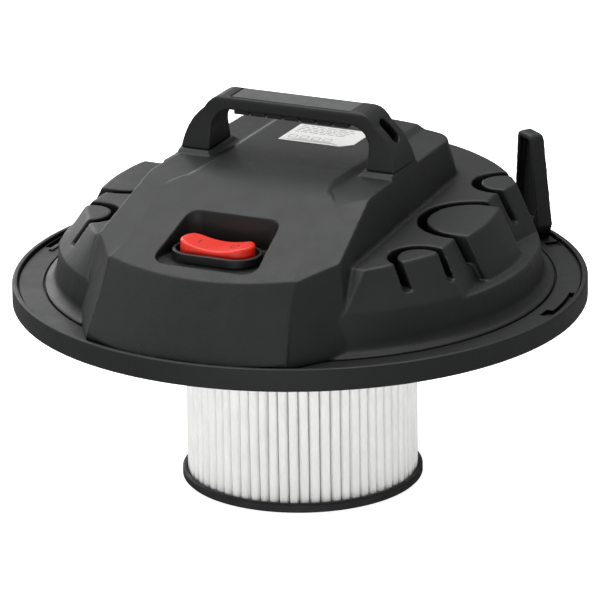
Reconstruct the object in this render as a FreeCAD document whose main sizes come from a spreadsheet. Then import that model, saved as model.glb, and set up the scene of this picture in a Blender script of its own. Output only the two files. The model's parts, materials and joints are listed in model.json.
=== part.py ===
"""Motor head of a wet and dry vacuum cleaner, standing on its cartridge filter.

Frame: millimetres, +Z up, origin on the head's axis at the underside of the filter's bottom cap.
The switch faces -Y and the cord inlet faces +Y.
"""
import FreeCAD, Part
import math
import os
import Sketcher

V = FreeCAD.Vector
UP = V(0, 0, 1)
AXIS = V(0, 0, 0)

doc = FreeCAD.newDocument("vacuum_head")
sheet = doc.addObject("Spreadsheet::Sheet", "sizes")

# Heights whose alias ends in _level are measured from the rim's top plane; the rest are plain sizes.
DIMENSIONS = {
    "rim_height": 139.0, "rim_radius": 190.0, "rim_lip": 3.6, "skirt_height": 15.0, "skirt_wall": 2.5,
    "ledge_drop": 2.4, "ledge_wall": 3.0, "lip_gap": 1.2, "lip_gap_depth": 3.4,
    "spigot_radius": 172.0, "spigot_wall": 2.5, "spigot_depth": 19.0,
    "floor_level": -6.0, "floor_wall": 3.0, "inlet_radius": 24.0,
    "housing_radius": 168.2, "foot_level": -3.8, "wall": 2.6,
    "ring_foot_radius": 160.6, "ring_top_radius": 158.4, "shelf_level": 22.0,
    "nose_radius": 280.0, "nose_front": 182.0, "nose_slope": 0.578, "nose_limit": 184.6,
    "deck_level": 80.0, "deck_raise": 2.6, "deck_bend": 90.0, "seat_height": 3.2,
    "panel_edge_level": 47.0, "panel_slope": 0.39, "bevel_slope": 0.147,
    "plateau_level": 51.5, "plateau_slope": 0.035,
    "dock_floor_level": 32.0, "dock_width": 6.2, "tongue_radius": 14.0, "petal_radius": 29.5,
    "petal_reach": 134.5, "petal_slope": 0.49,
    "pocket_level": 47.6, "switch_y": -122.0, "collar_length": 61.0, "collar_width": 33.0,
    "collar_height": 6.5, "collar_wall": 2.2, "rocker_length": 51.0, "rocker_width": 23.0,
    "rocker_top_level": 60.2, "rocker_tilt": 1.0, "pivot_level": 43.0, "pivot_radius": 1.5,
    "handle_reach": 77.0, "handle_inner": 57.0, "handle_top_level": 120.2, "handle_thickness": 9.0,
    "handle_bend": 15.0, "handle_depth": 25.0, "handle_foot_depth": 36.0,
    "inlay_length": 86.0, "inlay_width": 20.0, "grip_length": 84.0, "grip_pads": 7,
    "filter_radius": 77.0, "filter_inner_radius": 64.0, "cap_radius": 80.0, "cap_height": 6.0,
    "cap_floor": 3.0, "core_radius": 61.6, "core_wall": 1.6, "seal_thickness": 4.0,
    "cage_radius": 54.0, "cage_depth": 56.0, "cage_wall": 2.0,
    "float_radius": 33.0, "float_height": 28.0, "float_seal_thickness": 2.0,
    "pan_radius": 62.0, "pan_height": 26.0, "pan_wall": 1.2, "gasket_thickness": 2.0,
    "impeller_radius": 54.0, "impeller_height": 15.0, "eye_radius": 20.0, "blade_wall": 1.4,
    "bracket_thickness": 3.0, "stator_radius": 40.0, "stator_bore": 24.0, "stator_height": 26.0,
    "stator_level": 29.0, "core_gap": 0.6, "shaft_radius": 4.0, "shaft_foot_level": -1.0, "shaft_length": 72.0,
    "bearing_radius": 11.0, "bearing_width": 5.0, "fit_gap": 0.05,
    "commutator_radius": 12.0, "commutator_height": 9.0, "commutator_level": 57.0,
    "brush_width": 6.0, "brush_length": 16.0,
    "hook_height": 72.5, "hook_width": 32.0, "hook_top_width": 19.0, "hook_angle": 53.2, "hook_radius": 177.5,
    "gland_radius": 8.0, "gland_flange": 11.0, "cord_radius": 3.8, "gland_level": 67.0,
    "screw_radius": 1.7, "screw_head": 4.0, "screw_circle": 142.0,
}
for row, (alias, value) in enumerate(DIMENSIONS.items(), start=1):
    sheet.set(f"A{row}", alias)
    sheet.set(f"B{row}", str(value))
    sheet.setAlias(f"B{row}", alias)
doc.recompute()
D = {alias: float(sheet.get(alias)) for alias in DIMENSIONS}

WALL = D["wall"]
FLOOR_UNDER = D["floor_level"] - D["floor_wall"]
SCREW_ANGLES = (48, 92, 134, 226, 252, 288, 314)
parts = []


# ---------------------------------------------------------------- helpers

def level(offset):
    """Height above the floor of something given from the rim's top plane."""
    return D["rim_height"] + offset


def at_level(name):
    return level(D[name])


def wire(items):
    """A closed wire from points; a pair (through, end) in place of a point makes an arc."""
    edges, here = [], items[0]
    for item in items[1:] + items[:1]:
        if isinstance(item, tuple):
            edges.append(Part.Arc(here, item[0], item[1]).toShape())
            here = item[1]
        elif (item - here).Length > 1e-6:
            edges.append(Part.LineSegment(here, item).toShape())
            here = item
    return Part.Wire(edges)


def plan(outline, z):
    """A wire at one height from (x, y) points, or (x, y, x, y) arcs through the first pair."""
    return wire([V(i[0], i[1], z) if len(i) == 2 else (V(i[0], i[1], z), V(i[2], i[3], z)) for i in outline])


def prism(outline, low, high):
    return Part.Face(plan(outline, low)).extrude(V(0, 0, high - low))


def drafted(low_outline, low, high_outline, high):
    """A block between two plan outlines with the same number of edges."""
    return Part.makeLoft([plan(low_outline, low), plan(high_outline, high)], True, True)


def turned(profile):
    """A solid turned about the head's axis from a (radius, height) outline."""
    return Part.Face(wire([V(r, 0, z) for r, z in profile])).revolve(AXIS, UP, 360)


def pipe(outer, inner, low, high):
    """A ring about the head's axis."""
    ring = Part.makeCylinder(outer, high - low, V(0, 0, low))
    return ring.cut(Part.makeCylinder(inner, high - low + 2, V(0, 0, low - 1))) if inner else ring


def stadium(length, width, low, high, middle=V(0, 0, 0)):
    """An upright block with half-round ends, long along X."""
    half, radius = (length - width) / 2, width / 2
    return prism([(-half, -radius), (half, -radius), (half + radius, 0, half, radius), (-half, radius),
                  (-half - radius, 0, -half, -radius)], low, high).translated(middle)


def half_space(through, normal, size=800.0):
    """Everything on the side of a plane that its normal points to."""
    box = Part.makeBox(size, size, size, V(-size / 2, -size / 2, 0))
    box.Placement = FreeCAD.Placement(through, FreeCAD.Rotation(UP, normal))
    return box


def mirrored(solid):
    return solid.mirror(AXIS, V(1, 0, 0))


def both_sides(solid):
    return [solid, mirrored(solid)]


def around(solid, count, start=0.0):
    """Copies of a solid spaced evenly about the head's axis."""
    copies = []
    for step in range(count):
        copy = solid.copy()
        copy.rotate(AXIS, UP, start + step * 360.0 / count)
        copies.append(copy)
    return copies


def rounded(solid, radius, pick):
    """The solid with its chosen edges filleted, or as it was if no such fillet exists."""
    edges = [edge for edge in solid.Edges if pick(edge)]
    for attempt in (radius, radius * 0.6):
        try:
            done = solid.makeFillet(attempt, edges)
        except Exception:
            continue
        if done.isValid() and done.Volume > 0:
            return done
    print("left sharp:", len(edges), "edges")
    return solid


def lowest(edge):
    return min(vertex.Z for vertex in edge.Vertexes)


def add(label, solid):
    """Keep a solid, or a group of separate solids, as a named sub-part."""
    feature = doc.addObject("Part::Feature", label)
    feature.Shape = solid
    feature.Label = label
    parts.append(feature)
    return feature


def bound(expression):
    """An expression with each alias in it written as a reference to the sheet."""
    words, word = [], ""
    for letter in expression + " ":
        if letter.isalnum() or letter == "_":
            word += letter
            continue
        words.append(("sizes." + word if word in DIMENSIONS else word) + letter)
        word = ""
    return "".join(words).strip()


def cylinder(name, radius, height, base):
    feature = doc.addObject("Part::Cylinder", name)
    for prop, expression in (("Radius", radius), ("Height", height), ("Placement.Base.z", base)):
        feature.setExpression(prop, bound(expression))
    return feature


def tube(label, outer, inner, height, base):
    """A ring-shaped sub-part: a bound cylinder cut by another."""
    ring = doc.addObject("Part::Cut", label)
    ring.Base = cylinder(label + "_outer", outer, height, base)
    ring.Tool = cylinder(label + "_bore", inner, f"{height} + 2", f"{base} - 1")
    ring.Label = label
    parts.append(ring)
    return ring


def sketched(label, radii, height, base):
    """A disc or ring as a body: one circle in its sketch per radius, padded upwards."""
    body = doc.addObject("PartDesign::Body", label + "_body")
    sketch = body.newObject("Sketcher::SketchObject", label + "_sketch")
    plane = next(item for item in body.Origin.OriginFeatures if item.Role == "XY_Plane")
    sketch.AttachmentSupport = [(plane, "")]
    sketch.MapMode = "FlatFace"
    for number, radius in enumerate(radii):
        first_guess = 100.0 / (number + 1)
        circle = sketch.addGeometry(Part.Circle(AXIS, UP, first_guess), False)
        sketch.addConstraint(Sketcher.Constraint("Coincident", circle, 3, -1, 1))
        size = sketch.addConstraint(Sketcher.Constraint("Radius", circle, first_guess))
        sketch.setExpression(f"Constraints[{size}]", bound(radius))
    pad = body.newObject("PartDesign::Pad", label + "_pad")
    pad.Profile = sketch
    pad.setExpression("Length", bound(height))
    body.setExpression("Placement.Base.z", bound(base))
    body.Label = label
    parts.append(body)
    return body


# ---------------------------------------------------------------- base plate

def hook_frame(solid):
    """Place a solid made about the hook's foot, its X pointing outwards from the head's axis."""
    placed = solid.translated(V(D["hook_radius"], 0, 0))
    placed.rotate(AXIS, UP, D["hook_angle"])
    return placed


def ring_slot(inner, outer, start, end, depth=9.0):
    """Cutter for a slot in the ledge that follows the rim between two angles."""
    points = [(r * math.cos(math.radians(a)), r * math.sin(math.radians(a)))
              for r, a in ((inner, start), (outer, start), (outer, (start + end) / 2), (outer, end), (inner, end),
                           (inner, (start + end) / 2))]
    outline = [points[0], points[1], points[2] + points[3], points[4], points[5] + points[0]]
    ledge = level(-D["ledge_drop"])
    return Part.Face(plan(outline, ledge - depth)).extrude(V(0, 0, depth + 1))


def screw_places():
    return [(D["screw_circle"] * math.cos(math.radians(a)), D["screw_circle"] * math.sin(math.radians(a)))
            for a in SCREW_ANGLES]


def make_base_plate():
    """Rim, ledge and floor in one moulding; the tank's rim goes between its skirt and its spigot."""
    outer, lip = D["rim_radius"], D["rim_radius"] - D["rim_lip"]
    gap_side = lip - D["lip_gap"]
    ledge, under = level(-D["ledge_drop"]), level(-D["ledge_drop"] - D["ledge_wall"])
    seat, floor = D["housing_radius"] + 1.2, at_level("floor_level")
    spigot, spigot_inner = D["spigot_radius"], D["spigot_radius"] - D["spigot_wall"]
    skirt_foot, spigot_foot = level(-D["skirt_height"]), level(-D["spigot_depth"])
    solid = turned([
        (D["inlet_radius"], floor), (seat - 5, floor), (seat - 5, at_level("foot_level")),
        (seat, at_level("foot_level")), (seat, ledge), (gap_side, ledge),
        (gap_side, level(-D["lip_gap_depth"])), (lip, level(-D["lip_gap_depth"])), (lip, level(-0.5)),
        (lip + 0.5, level(0)), (outer - 1.3, level(0)), (outer - 0.4, level(-0.4)), (outer, level(-1.3)),
        (outer, skirt_foot + 1.3), (outer - 0.9, skirt_foot), (outer - D["skirt_wall"], skirt_foot),
        (outer - D["skirt_wall"], under), (spigot, under), (spigot, spigot_foot + 1), (spigot - 1, spigot_foot),
        (spigot_inner, spigot_foot), (spigot_inner, level(FLOOR_UNDER)),
        (D["inlet_radius"], level(FLOOR_UNDER))])
    latch = ring_slot(180.6, 184.4, -2, 12.5).fuse(ring_slot(176.0, 184.4, -3.2, 0.6))
    for cutter in both_sides(latch):
        solid = solid.cut(cutter)
    solid = solid.cut(hook_frame(Part.makeBox(6, 12, 5, V(-3, -6, level(-6.4)))))
    for start in (43.2, 132.0):
        solid = solid.cut(ring_slot(175.0, gap_side + 0.2, start, start + 3.2, 1.8))
    for x, y in screw_places():
        solid = solid.cut(Part.makeCylinder(2.2, 12, V(x, y, level(FLOOR_UNDER - 4))))
    strip = Part.makeBox(3, 32, 1.2, V(-178.5, -16, ledge - 0.2))
    return solid.fuse(strip).removeSplitter()


# ---------------------------------------------------------------- top housing

def dome_block(inset):
    """The round wall that stands on the ledge, up to the shelf."""
    foot, top = at_level("foot_level") - inset, at_level("shelf_level") - inset
    radius, low_radius, high_radius = (D[n] - inset for n in
                                       ("housing_radius", "ring_foot_radius", "ring_top_radius"))
    profile = [V(0, 0, foot), V(radius, 0, foot), V(radius, 0, level(-1.6)),
               (V(low_radius + 2.3, 0, level(1.2)), V(low_radius, 0, level(7))),
               V(high_radius, 0, top - 1.4), (V(high_radius - 0.45, 0, top - 0.4), V(high_radius - 1.6, 0, top)),
               V(0, 0, top)]
    return Part.Face(wire(profile)).revolve(AXIS, UP, 360)


# Corners of the wing's right side, from the front: plan places at the shelf and 30 mm above it.
WING_CORNERS = [((92.0, -130.2), (96.7, -101.6)), ((146.0, -64.0), (124.3, -59.8)),
                ((142.5, -42.0), (125.4, -37.3)), ((132.5, 51.0), (117.7, 53.4)), ((136.0, 80.0), (122.0, 77.2))]
WING_FRONT = ((122.6, -101.8), (111.0, -81.1))  # where the front flank's curve passes half way
WING_REAR = (157.8, 145.8)


def wing_outline(rise, inset):
    """Plan outline of both wings at a height above the shelf."""
    share = rise / 30.0

    def place(low, high):
        x, y = low[0] + (high[0] - low[0]) * share, low[1] + (high[1] - low[1]) * share
        shrink = 1 - inset * 1.25 / math.hypot(x, y)
        return (x * shrink, y * shrink)

    first, second, *others = [place(low, high) for low, high in WING_CORNERS]
    middle = place(*WING_FRONT)
    rear = WING_REAR[0] + (WING_REAR[1] - WING_REAR[0]) * share - inset
    last = others.pop()
    turn = rear / math.hypot(*last)
    others.append((last[0] * turn, last[1] * turn))
    left = [(-x, y) for x, y in reversed(others)]
    right = [first, middle + second] + others
    return right + [(0, rear) + left[0]] + left[1:] + [
        (-second[0], second[1]), (-middle[0], middle[1], -first[0], first[1])]


def wall_cone(inset, low, high):
    """The round wall's own cone, carried on upwards; nothing of the wings reaches past it."""
    radius = D["ring_top_radius"] - inset
    slope = (D["ring_foot_radius"] - D["ring_top_radius"]) / 15.0
    shelf = at_level("shelf_level")
    return Part.makeCone(radius - slope * (low - shelf), radius - slope * (high - shelf), high - low, V(0, 0, low))


def wing_block(inset):
    """Plateaus on both sides with their slanted flanks, joined round the back."""
    low, high = -3.0, 44.0
    shelf = D["shelf_level"]
    block = drafted(wing_outline(low, inset), level(shelf + low), wing_outline(high, inset), level(shelf + high))
    block = block.common(wall_cone(inset + 0.05, level(shelf + low - 1), level(shelf + high + 1)))
    plateau = V(0, 0, at_level("plateau_level") - inset)
    return block.cut(half_space(plateau, V(0, -D["plateau_slope"], 1)))


def spine_outline(share, inset):
    """Plan outline of the long middle block, from its foot (0) to its top (1)."""
    def between(low, high):
        return low + (high - low) * share
    nose = between(72.0, 60.5) - inset
    knee, nose_y = between(-131.5, -115.0) + inset, between(-170.0, -133.0) + inset
    side, back = between(96.4, 80.8) - inset, between(88.6, 75.1) - inset
    rear = between(118.0, 97.0) - inset
    return [(-nose, -190), (nose, -190), (nose, nose_y), (side, knee), (back, rear - 32),
            (back - 4.0, rear - 17, back - 15, rear - 9.5), (0, rear, 15 - back, rear - 9.5),
            (4.0 - back, rear - 17, -back, rear - 32), (-side, knee), (-nose, nose_y)]


def nose_cone(inset, high):
    """The wide cone, leaning back, that the nose of the spine lies on."""
    low, radius = at_level("foot_level"), D["nose_radius"]
    foot = radius - inset * 1.15 + D["nose_slope"] * -D["foot_level"]
    cone = Part.makeCone(foot, foot - D["nose_slope"] * (high - low), high - low,
                         V(0, radius - D["nose_front"], low))
    return cone.common(Part.makeCylinder(D["nose_limit"] - inset, high - low, V(0, 0, low)))


def top_profile(deck, edge):
    """Everything under the deck and the slope in front of it, with a wide bend between them."""
    slope, bend = D["panel_slope"], D["deck_bend"]
    lean = math.atan(slope)
    reach = bend * math.tan(lean / 2)
    turn_y = -150 + (deck - edge) / slope
    start = V(-200, turn_y - reach * math.cos(lean), deck - reach * math.sin(lean))
    middle = V(-200, turn_y + reach - bend * math.sin(lean / 2), deck - bend + bend * math.cos(lean / 2))
    front, back, low = -220, 140, at_level("foot_level") - 1
    outline = [V(-200, front, low), V(-200, front, edge + slope * (front + 150)), start,
               (middle, V(-200, turn_y + reach, deck)), V(-200, back, deck), V(-200, back, low)]
    return Part.Face(wire(outline)).extrude(V(400, 0, 0))


def spine_block(inset, raised=0.0):
    """The long middle block: nose, sloped front panel, deck and side walls."""
    low, high = at_level("foot_level"), level(D["deck_level"] + 8)
    share = (high - low) / (level(D["deck_level"]) - low)
    block = drafted(spine_outline(0, inset), low, spine_outline(share, inset), high)
    block = block.common(nose_cone(inset, high))
    edge = at_level("panel_edge_level") - inset * 1.07
    block = block.common(top_profile(at_level("deck_level") - inset + raised, edge))
    if not raised:
        for side in (1, -1):
            block = block.cut(half_space(V(side * 66, -148, edge), V(side * D["bevel_slope"], -D["panel_slope"], 1)))
    return block


def raised_panel():
    """The panel that runs up the middle of the slope and along the deck, proud of the rails beside it."""
    right = [(66, -149), (52.7, -94), (62, -76), (50.5, -58), (50.5, 0)]
    left = [(-x, y) for x, y in reversed(right)]
    slope = prism([(-66, -190), (66, -190)] + right + left, at_level("shelf_level"), at_level("deck_level"))
    deck, high = at_level("deck_level"), D["deck_raise"] + 0.4
    flat = drafted([(-50.5, -90), (50.5, -90), (50.5, 130), (-50.5, 130)], deck,
                   [(-44.5, -90), (44.5, -90), (44.5, 130), (-44.5, 130)], deck + high)
    block = spine_block(0.0, D["deck_raise"])
    return block.common(slope.fuse(flat))


def handle_seat(side):
    """Low boss on the deck that one leg of the handle stands on."""
    inner, outer = D["handle_inner"] - 4.5, D["handle_reach"] + 6
    foot, deck = D["handle_foot_depth"] / 2, at_level("deck_level")
    low = [(side * inner, -foot - 5), (side * outer, -foot - 5), (side * outer, foot + 5), (side * inner, foot + 5)]
    inner += 3.5
    high = [(side * inner, -foot - 1), (side * outer, -foot - 1), (side * outer, foot + 1), (side * inner, foot + 1)]
    block = drafted(low, deck - 1.2, high, deck + D["seat_height"])
    return block.common(spine_block(0.0, D["seat_height"]))


def dock_outline(radius, reach):
    """A half-round with straight sides that run out along +X, about the dock's own centre."""
    return [(0, -radius), (reach, -radius), (reach, radius), (0, radius), (-radius, 0, 0, -radius)]


DOCKS = [((118.0, -70.5), -31.5, "tongue_radius"), ((122.5, 4.0), 0.0, "petal_radius"),
         ((112.5, 77.0), 6.0, "tongue_radius")]


def dock_prism(dock, radius, reach, low, high):
    (x, y), turn, _ = dock
    solid = prism(dock_outline(radius, reach), low, high)
    solid.rotate(AXIS, UP, turn)
    return solid.translated(V(x, y, 0))


def dock_groove(dock, spread):
    """The U-shaped slot that a nozzle's tube slides down into; spread thickens it all round."""
    inner = D[dock[2]]
    outer = inner + D["dock_width"]
    high = level(90)
    groove = dock_prism(dock, outer + spread, 60, at_level("dock_floor_level") - spread, high)
    return groove.cut(dock_prism(dock, inner - spread, 80, level(0), high + 1))


def petal(inset):
    """The tall tongue of the middle dock, which stands out over the shelf."""
    dock = DOCKS[1]
    low, high = level(10), level(70)
    solid = dock_prism(dock, D["petal_radius"] - inset, 40, low, high)
    reach, crest = D["petal_reach"] - inset, at_level("plateau_level")
    solid = solid.common(Part.makeCone(reach + D["petal_slope"] * (crest - low),
                                       reach - D["petal_slope"] * (high - crest), high - low, V(0, 0, low)))
    return solid.cut(half_space(V(0, 0, at_level("plateau_level") - inset), V(0, -D["plateau_slope"], 1)))


def switch_pocket(spread):
    """The hollow in the front panel that the switch stands in."""
    def outline(rise):
        grow = spread + rise * 0.16
        back, front, wide, narrow = -97.0 + grow, -145.0 - grow, 35.5 + grow, 30.5 + grow
        turn, bulge = 9.0, 9.0 * 0.29
        return [(-wide + turn, front), (wide - turn, front), (wide - bulge, front + bulge, wide, front + turn),
                (narrow, back - turn), (narrow - bulge, back - bulge, narrow - turn, back),
                (-narrow + turn, back), (-narrow + bulge, back - bulge, -narrow, back - turn),
                (-wide, front + turn), (-wide + bulge, front + bulge, -wide + turn, front)]
    low = at_level("pocket_level") - spread
    return drafted(outline(0), low, outline(36), low + 36)


def collar_hole(low, high, spread=0.0):
    inner = 2 * D["collar_wall"] - 2 * spread
    return stadium(D["collar_length"] - inner, D["collar_width"] - inner, low, high, V(0, D["switch_y"], 0))


def gland_boss(radius, start, end):
    return Part.makeCylinder(radius, end - start, V(0, start, at_level("gland_level")), V(0, 1, 0))


def make_housing():
    """The top housing's shell, with its docks, pocket, vents and screw bosses."""
    wings = rounded(wing_block(0), 2.0, lambda e: lowest(e) > level(44))
    tall = rounded(petal(0), 1.6, lambda e: lowest(e) > level(45))
    outer = dome_block(0).fuse([wings, spine_block(0)])
    outer = outer.fuse([raised_panel(), handle_seat(1), handle_seat(-1)])
    outer = outer.cut(pipe(230, D["housing_radius"], at_level("foot_level") - 1, level(-D["ledge_drop"])))
    for dock in DOCKS:
        for cutter in both_sides(dock_groove(dock, 0)):
            outer = outer.cut(cutter)
    outer = outer.fuse(both_sides(tall)).cut(switch_pocket(0))
    outer = outer.fuse(gland_boss(13, 80, 106))

    hollow = dome_block(WALL).fuse([wing_block(WALL), spine_block(WALL)])
    hollow = hollow.fuse(both_sides(petal(WALL)))
    for dock in DOCKS:
        for cutter in both_sides(dock_groove(dock, WALL)):
            hollow = hollow.cut(cutter)
    hollow = hollow.cut(switch_pocket(WALL))
    shell = outer.cut(hollow)
    posts = [Part.makeCylinder(5, 60, V(x, y, at_level("floor_level"))) for x, y in screw_places()]
    foot = at_level("floor_level")
    keep = outer.fuse(pipe(D["housing_radius"] - 6, 0, foot, at_level("foot_level") + 0.01))
    shell = shell.fuse([post.common(keep) for post in posts])
    for x, y in screw_places():
        shell = shell.cut(Part.makeCylinder(D["screw_radius"] + 0.1, 14, V(x, y, foot - 1)))
    for x, y in handle_screw_places():
        shell = shell.cut(Part.makeCylinder(D["screw_radius"] + 0.4, 9, V(x, y, at_level("deck_level") - 4)))
    shell = shell.cut(collar_hole(at_level("pocket_level") - 10, at_level("pocket_level") + 1))
    shell = shell.cut(gland_boss(D["gland_radius"], 60, 120))
    vent = Part.makeBox(3.2, 60, 13, V(-1.6, 78, level(62)))
    for step in range(6):
        for side in (1, -1):
            shell = shell.cut(vent.translated(V(side * (24 + 7 * step), 0, 0)))
    return shell.removeSplitter()


# ---------------------------------------------------------------- handle

def handle_arch():
    """The handle seen from the front: a bar between two legs that flare out to the rails."""
    reach, inner, top = D["handle_reach"], D["handle_inner"], at_level("handle_top_level")
    under, foot = top - D["handle_thickness"], at_level("deck_level") - 1
    outside = wire([V(-reach, 0, foot), (V(-reach + 4, 0, level(98)), V(-reach + 15, 0, level(111))),
                    (V(-55, 0, top - 2), V(-49, 0, top)), V(49, 0, top),
                    (V(55, 0, top - 2), V(reach - 15, 0, level(111))),
                    (V(reach - 4, 0, level(98)), V(reach, 0, foot))])
    bend = D["handle_bend"]
    gap = wire([V(-inner, 0, foot - 1), V(-inner, 0, under - bend),
                (V(-inner + bend * 0.29, 0, under - bend * 0.29), V(-inner + bend, 0, under)),
                V(inner - bend, 0, under),
                (V(inner - bend * 0.29, 0, under - bend * 0.29), V(inner, 0, under - bend)),
                V(inner, 0, foot - 1)])
    depth = 60.0
    solid = Part.Face(outside).extrude(V(0, depth, 0)).cut(Part.Face(gap).extrude(V(0, depth, 0)))
    return solid.translated(V(0, -depth / 2, 0))


def handle_section():
    """The handle seen from the side: narrow at the bar, wide at the legs' feet."""
    half, foot = D["handle_depth"] / 2, D["handle_foot_depth"] / 2
    top = at_level("handle_top_level")
    outline = wire([V(-90, -foot, level(70)), V(-90, -foot, at_level("deck_level") + 1),
                    (V(-90, -half - 1.2, level(96)), V(-90, -half, level(108))),
                    V(-90, -half, top - 3.5), (V(-90, -half + 1, top - 1), V(-90, -half + 3.5, top + 0.01)),
                    V(-90, half - 3.5, top + 0.01), (V(-90, half - 1, top - 1), V(-90, half, top - 3.5)),
                    V(-90, half, level(108)), (V(-90, half + 1.2, level(96)), V(-90, foot, at_level("deck_level") + 1)),
                    V(-90, foot, level(70))])
    return Part.Face(outline).extrude(V(180, 0, 0))


def leg_slot():
    """Long hole in the sloped outer side of the right leg."""
    solid = stadium(18.5, 10.5, -7, 20)
    solid.rotate(AXIS, V(0, 1, 0), 60)
    return solid.translated(V(65.8, 0, level(106.5)))


def make_handle():
    body = handle_arch().common(handle_section())
    seat = half_space(V(0, 0, at_level("deck_level") + D["seat_height"]), UP)
    body = body.common(seat)
    inlay = handle_inlay_block(0.45, 0.0)
    body = body.cut(inlay)
    for slot in both_sides(leg_slot()):
        body = body.cut(slot)
    body = body.cut(grip_block(0.2))
    for x, y in handle_screw_places():
        body = body.cut(Part.makeCylinder(D["screw_radius"] + 0.1, 14, V(x, y, at_level("deck_level") - 1)))
    return body


def handle_screw_places():
    middle = (D["handle_reach"] + D["handle_inner"]) / 2
    return [(side * middle, y) for side in (-1, 1) for y in (-11, 11)]


def handle_inlay_block(spread, sink):
    """The soft panel let into the top of the bar."""
    top = at_level("handle_top_level") - sink
    long, wide = D["inlay_length"] / 2 + spread, D["inlay_width"] / 2 + spread
    outline = [(-long, -wide), (long, -wide), (long, wide), (-long, wide)]
    return prism(outline, top - 2.2 - 2 * spread, top + (2 if spread else 0))


def grip_block(spread):
    """Space of the grip's finger side, under the bar."""
    under = at_level("handle_top_level") - D["handle_thickness"]
    half = D["grip_length"] / 2 + spread
    wide = D["handle_depth"] / 2 - 2 + spread
    return Part.makeBox(2 * half, 2 * wide, 3.8 + spread, V(-half, -wide, under - 1))


def make_grip():
    """Finger side of the bar: a strip with a row of raised pads."""
    under = at_level("handle_top_level") - D["handle_thickness"]
    half, wide = D["grip_length"] / 2, D["handle_depth"] / 2 - 2
    solid = Part.makeBox(2 * half, 2 * wide, 2.8, V(-half, -wide, under))
    count = int(D["grip_pads"])
    pitch = 2 * half / count
    for step in range(count):
        pad = Part.makeBox(pitch - 1.9, 2 * wide, 3.1, V(-half + 0.95 + step * pitch, -wide, under - 3.0))
        solid = solid.fuse(pad)
    return solid.removeSplitter()


# ---------------------------------------------------------------- switch

def tilted(solid):
    """A solid of the rocker, leaned over its pivot as the switch stands when off."""
    leaned = solid.copy()
    leaned.rotate(V(0, D["switch_y"], at_level("pivot_level")), V(0, 1, 0), D["rocker_tilt"])
    return leaned


def make_rocker():
    low, high = level(41), at_level("rocker_top_level")
    middle = V(0, D["switch_y"], 0)
    solid = stadium(D["rocker_length"], D["rocker_width"], low, high, middle)
    dip = Part.makeCylinder(60, 60, V(0, D["switch_y"] - 30, high - 3.4 + 60), V(0, 1, 0))
    solid = rounded(solid.cut(dip), 1.8, lambda e: lowest(e) > high - 6)
    bore = Part.makeCylinder(D["pivot_radius"] + D["fit_gap"], 60,
                             V(0, D["switch_y"] - 30, at_level("pivot_level")), V(0, 1, 0))
    return tilted(solid.cut(bore))


def make_switch_body():
    low, high = level(18), at_level("pocket_level") - WALL
    middle = V(0, D["switch_y"], 0)
    solid = stadium(D["collar_length"] + 4, D["collar_width"] + 2, low, high, middle)
    solid = solid.cut(collar_hole(level(37), high + 1))
    bore = Part.makeCylinder(D["pivot_radius"], 60, V(0, D["switch_y"] - 30, at_level("pivot_level")), V(0, 1, 0))
    return solid.cut(bore)


def make_collar():
    low = at_level("pocket_level")
    high = low + D["collar_height"]
    solid = stadium(D["collar_length"], D["collar_width"], low, high, V(0, D["switch_y"], 0))
    solid = rounded(solid, 0.9, lambda e: lowest(e) > high - 0.1)
    return solid.cut(collar_hole(low - 1, high + 1))


def make_switch():
    add("switch_rocker", make_rocker())
    add("switch_body", make_switch_body())
    add("switch_collar", make_collar())
    length = D["collar_width"] - 0.6
    pin = Part.makeCylinder(D["pivot_radius"], length, V(0, D["switch_y"] - length / 2, at_level("pivot_level")),
                            V(0, 1, 0))
    add("switch_pivot_pin", pin)
    blades = [Part.makeBox(6.3, 0.8, 9, V(-3.15 + x, D["switch_y"] - 0.4, level(9))) for x in (-15, 0, 15)]
    add("switch_terminals", Part.makeCompound(blades))


# ---------------------------------------------------------------- motor and fan

def make_fan_pan():
    """Metal can round the impeller, with the air inlet in its floor."""
    low = at_level("floor_level") + D["gasket_thickness"]
    radius, thick = D["pan_radius"], D["pan_wall"]
    high = low + D["pan_height"]
    solid = turned([(D["inlet_radius"], low), (radius, low), (radius, high), (radius - thick, high),
                    (radius - thick, low + thick), (D["inlet_radius"], low + thick)])
    window = Part.makeBox(12, 14, 8, V(radius - 6, -7, high - 12))
    for cutter in around(window, 10, 18):
        solid = solid.cut(cutter)
    return solid


def make_impeller():
    """Closed impeller: a back disc, curved blades and a shroud with the eye in it."""
    low = at_level("shaft_foot_level") + 1.5
    high = low + D["impeller_height"]
    radius, thick = D["impeller_radius"], D["blade_wall"]
    solid = pipe(radius, D["shaft_radius"], high - thick, high).fuse(pipe(radius, D["eye_radius"], low, low + thick))
    solid = solid.fuse(pipe(9, D["shaft_radius"], low + 3, high))
    inner, outer = V(D["eye_radius"] - 1, 0, 0), V(radius * 0.78, radius * 0.6, 0)
    middle = V(radius * 0.66, radius * 0.12, 0)
    rim = V(-thick * 0.5, thick * 0.9, 0)
    blade = Part.Face(wire([inner, (middle, outer), outer + rim, (middle + rim, inner + rim)]))
    blade = blade.extrude(V(0, 0, D["impeller_height"] - thick)).translated(V(0, 0, low + thick / 2))
    for copy in around(blade, 8):
        solid = solid.fuse(copy)
    return solid.common(Part.makeCylinder(radius, 40, V(0, 0, low))).removeSplitter()


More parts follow.
